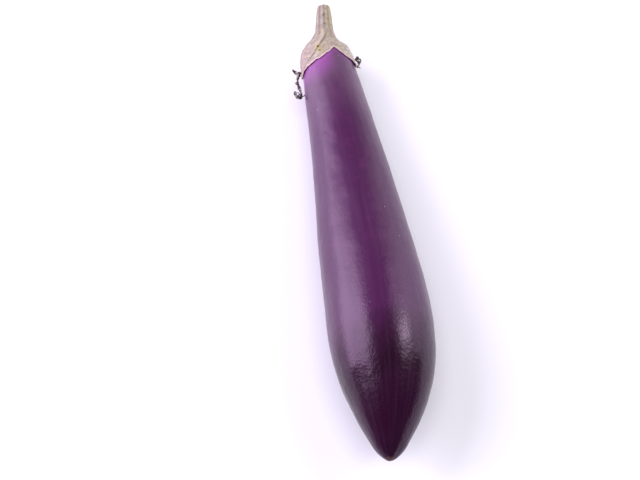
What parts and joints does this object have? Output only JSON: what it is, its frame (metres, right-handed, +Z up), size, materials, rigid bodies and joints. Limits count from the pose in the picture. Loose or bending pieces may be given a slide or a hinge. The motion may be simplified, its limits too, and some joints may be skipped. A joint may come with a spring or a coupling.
{
  "type": "eggplant",
  "caption": "Long slender purple eggplant lying on its side, swollen towards the pointed blossom end, with a pale lobed calyx, a cut ribbed stem and dry curled lobe tips.",
  "frame": {"origin": "on the resting surface, under the middle of the whole eggplant's box", "axes": "+Z up from the surface it lies on, +Y towards the stem end, +X to the side that the fruit bows towards"},
  "size_m": [0.0496, 0.2456, 0.0501],
  "materials": {
    "fruit_skin": "smooth waxy purple skin with a satin gloss, magenta by the calyx and nearly black at the blossom end",
    "calyx": "dry matt leathery calyx, pinkish grey with brown marks",
    "stem": "matt ribbed woody stem, buff and greenish grey with a dry cut end",
    "withered_tip": "shrivelled dry dark brown threads"
  },
  "bodies": {
    "root": {"fruit": "fruit_skin", "calyx": "calyx", "stem": "stem", "withered_tip_right": "withered_tip", "withered_tip_lower_right": "withered_tip", "withered_tip_under": "withered_tip", "withered_tip_lower_left": "withered_tip", "withered_tip_left": "withered_tip"}
  },
  "joints": []
}
